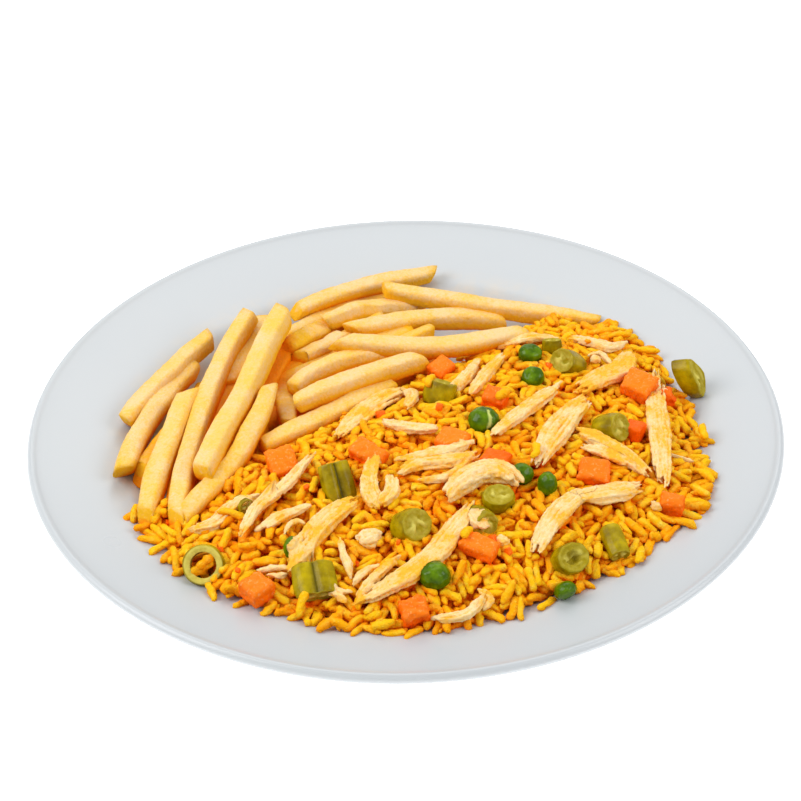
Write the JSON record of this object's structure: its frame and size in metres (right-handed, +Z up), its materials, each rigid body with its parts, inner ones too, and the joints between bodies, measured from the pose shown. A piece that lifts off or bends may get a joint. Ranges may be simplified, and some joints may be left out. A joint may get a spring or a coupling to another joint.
{
  "type": "plate of arroz con pollo",
  "caption": "Round white dinner plate holding a low mound of yellow rice with shredded chicken, diced carrot, peas and cut green beans, and a loose pile of fries beside it.",
  "frame": {"origin": "on the plate's own axis, in the plane that its foot ring stands on", "axes": "+Z up out of the plate, -Y towards the eater, the fries lie on the -X side and at the back"},
  "size_m": [0.254, 0.254, 0.0363],
  "materials": {
    "glaze": "gloss white glaze",
    "rice": "moist yellow cooked rice",
    "fried_potato": "dry golden crust",
    "carrot": "moist cooked carrot",
    "pea": "wet glossy skin",
    "green_bean": "wet skin and matte cut faces",
    "chicken": "fibrous, lightly moist"
  },
  "bodies": {
    "root": {"plate": "glaze", "fries": "fried_potato", "carrot_01": "carrot", "carrot_02": "carrot", "carrot_03": "carrot", "carrot_04": "carrot", "carrot_05": "carrot", "carrot_06": "carrot", "carrot_07": "carrot", "carrot_08": "carrot", "carrot_09": "carrot", "carrot_10": "carrot", "carrot_11": "carrot", "carrot_12": "carrot", "carrot_13": "carrot", "carrot_14": "carrot", "pea_01": "pea", "pea_02": "pea", "pea_03": "pea", "pea_04": "pea", "pea_05": "pea", "pea_06": "pea", "pea_07": "pea", "pea_08": "pea", "bean_01": "green_bean", "bean_02": "green_bean", "bean_03": "green_bean", "bean_04": "green_bean", "bean_05": "green_bean", "bean_06": "green_bean", "bean_07": "green_bean", "bean_08": "green_bean", "bean_09": "green_bean", "bean_10": "green_bean", "bean_11": "green_bean", "bean_12": "green_bean", "bean_13": "green_bean", "bean_14": "green_bean", "chicken_01": "chicken", "chicken_02": "chicken", "chicken_03": "chicken", "chicken_04": "chicken", "chicken_05": "chicken", "chicken_06": "chicken", "chicken_07": "chicken", "chicken_08": "chicken", "chicken_09": "chicken", "chicken_10": "chicken", "chicken_11": "chicken", "chicken_12": "chicken", "chicken_13": "chicken", "chicken_14": "chicken", "chicken_15": "chicken", "chicken_16": "chicken", "chicken_17": "chicken", "chicken_18": "chicken", "chicken_19": "chicken", "chicken_20": "chicken", "chicken_21": "chicken", "rice": "rice"}
  },
  "joints": []
}
